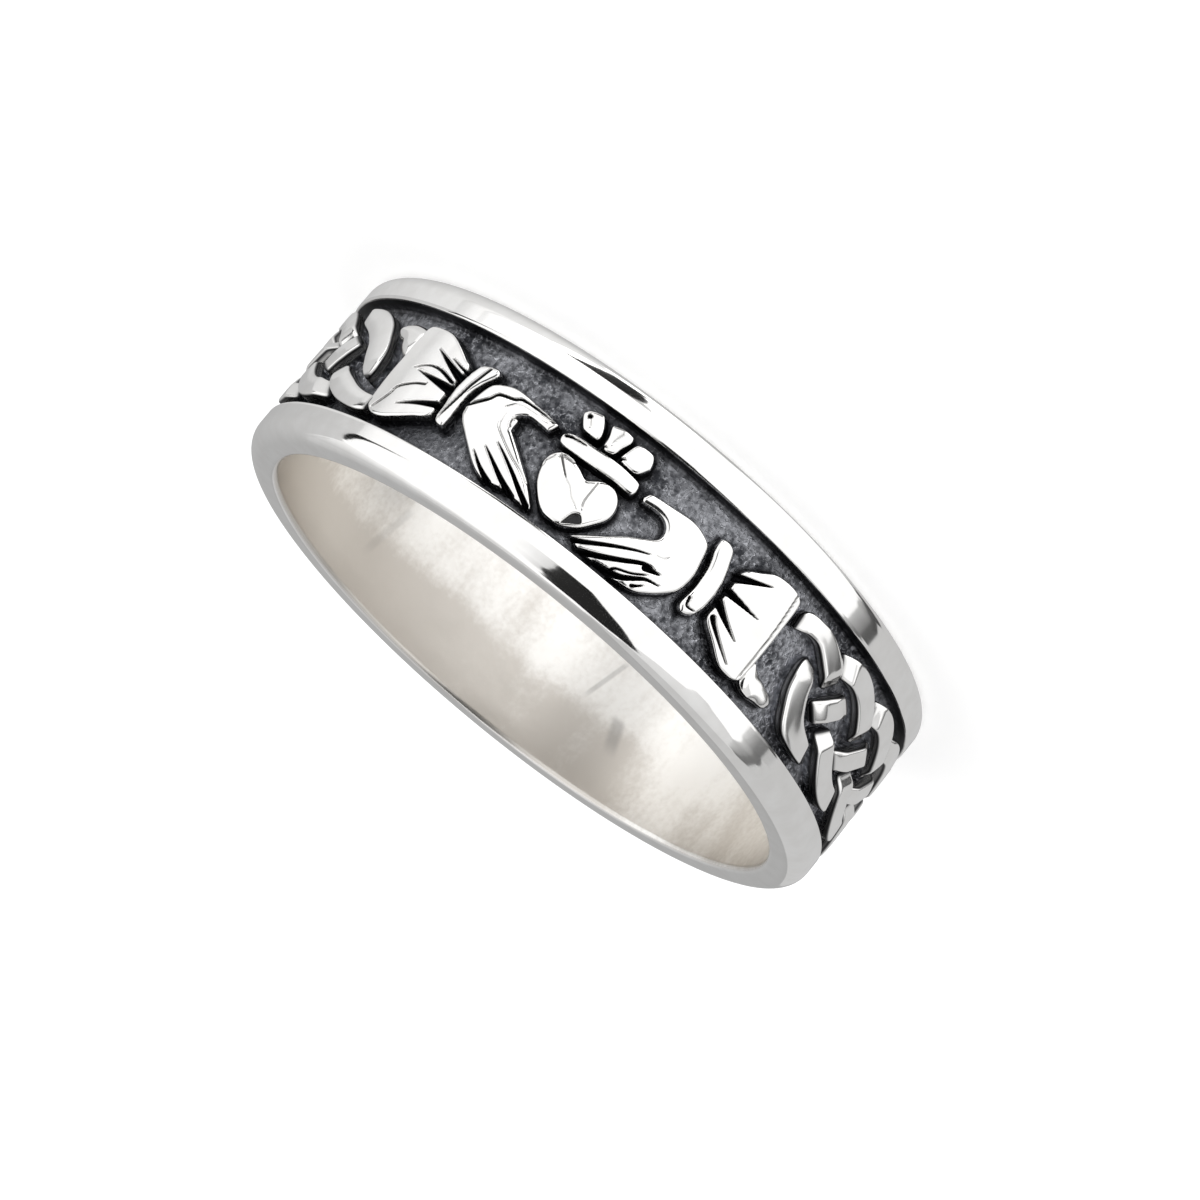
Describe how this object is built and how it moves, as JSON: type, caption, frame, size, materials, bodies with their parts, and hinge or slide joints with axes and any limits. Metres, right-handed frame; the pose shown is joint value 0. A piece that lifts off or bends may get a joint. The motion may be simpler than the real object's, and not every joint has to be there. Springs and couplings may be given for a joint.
{
  "type": "claddagh ring",
  "caption": "Claddagh finger ring: hands with gathered cuffs hold a crowned heart in raised relief, and a raised plait runs round the rest of the band between smooth rails.",
  "frame": {"origin": "middle of the ring's box, on the surface that the ring lies on", "axes": "+Z along the finger axis, up from the surface; the heart faces -Y with its point up and its crown down; +X is the heart's right as it is read upright from outside"},
  "size_m": [0.0216, 0.0216, 0.0064],
  "materials": {
    "polished_silver": "polished sterling silver, darkened in the sunk channel"
  },
  "bodies": {
    "root": {"ring": "polished_silver"}
  },
  "joints": []
}
